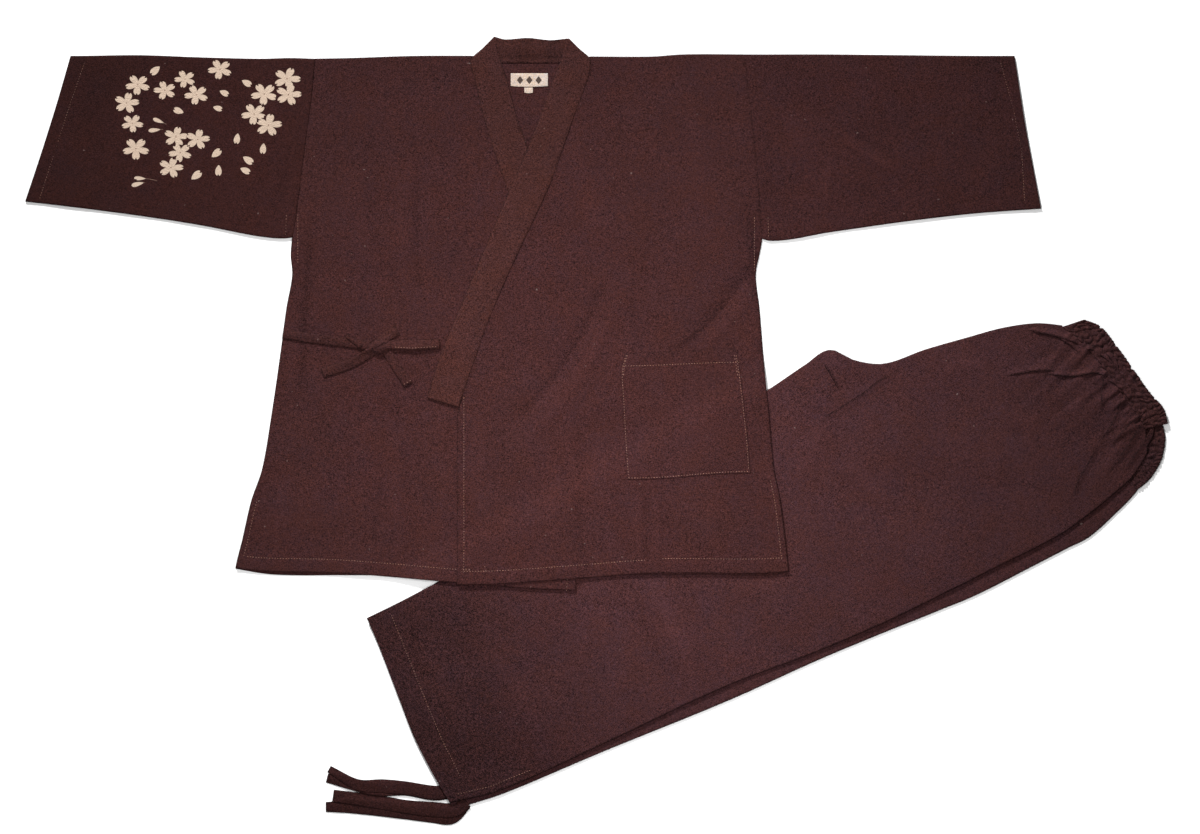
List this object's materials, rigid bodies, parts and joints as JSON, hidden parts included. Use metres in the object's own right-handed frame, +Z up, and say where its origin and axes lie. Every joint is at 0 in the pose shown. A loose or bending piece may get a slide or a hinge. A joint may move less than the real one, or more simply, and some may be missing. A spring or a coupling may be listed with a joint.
{
  "type": "samue, a wrap-over work jacket and trousers laid flat",
  "caption": "Work suit laid flat: a wrap-over jacket with ties and a patch pocket, on its folded elastic-waist trousers.",
  "frame": {"origin": "middle of the bounding box, on the surface the garment lies on", "axes": "+Z up from the surface, +Y from the jacket's hem towards its collar, +X across the jacket towards the plain sleeve"},
  "size_m": [1.5998, 1.101, 0.0099],
  "materials": {
    "jacket_cotton": "slubby plain-weave cotton, matt",
    "blossom_cotton": "plain-weave cotton printed with small cherry blossoms",
    "sleeve_cotton": "slubby plain-weave cotton, matt",
    "collar_cotton": "slubby plain-weave cotton, matt",
    "trouser_cotton": "slubby plain-weave cotton, matt",
    "waistband_cotton": "shirred plain-weave cotton over elastic",
    "tie_cotton": "folded and stitched cotton strip",
    "label_ribbon": "woven ribbon, slightly lustrous"
  },
  "bodies": {
    "root": {"back": "jacket_cotton", "front_right": "jacket_cotton", "front_left": "jacket_cotton", "sleeve_right": "blossom_cotton", "sleeve_left": "sleeve_cotton", "collar": "collar_cotton", "pocket": "jacket_cotton", "label": "label_ribbon", "label_tab": "label_ribbon", "tie_knot": "tie_cotton", "tie_side": "tie_cotton", "tie_side_end": "tie_cotton", "tie_front": "tie_cotton", "tie_front_bow": "tie_cotton", "tie_front_end": "tie_cotton", "leg_lower": "trouser_cotton", "leg_upper": "trouser_cotton", "waistband_lower": "waistband_cotton", "waistband_upper": "waistband_cotton", "ankle_tie_lower_1": "tie_cotton", "ankle_tie_lower_2": "tie_cotton", "ankle_tie_upper_1": "tie_cotton", "ankle_tie_upper_2": "tie_cotton"}
  },
  "joints": []
}
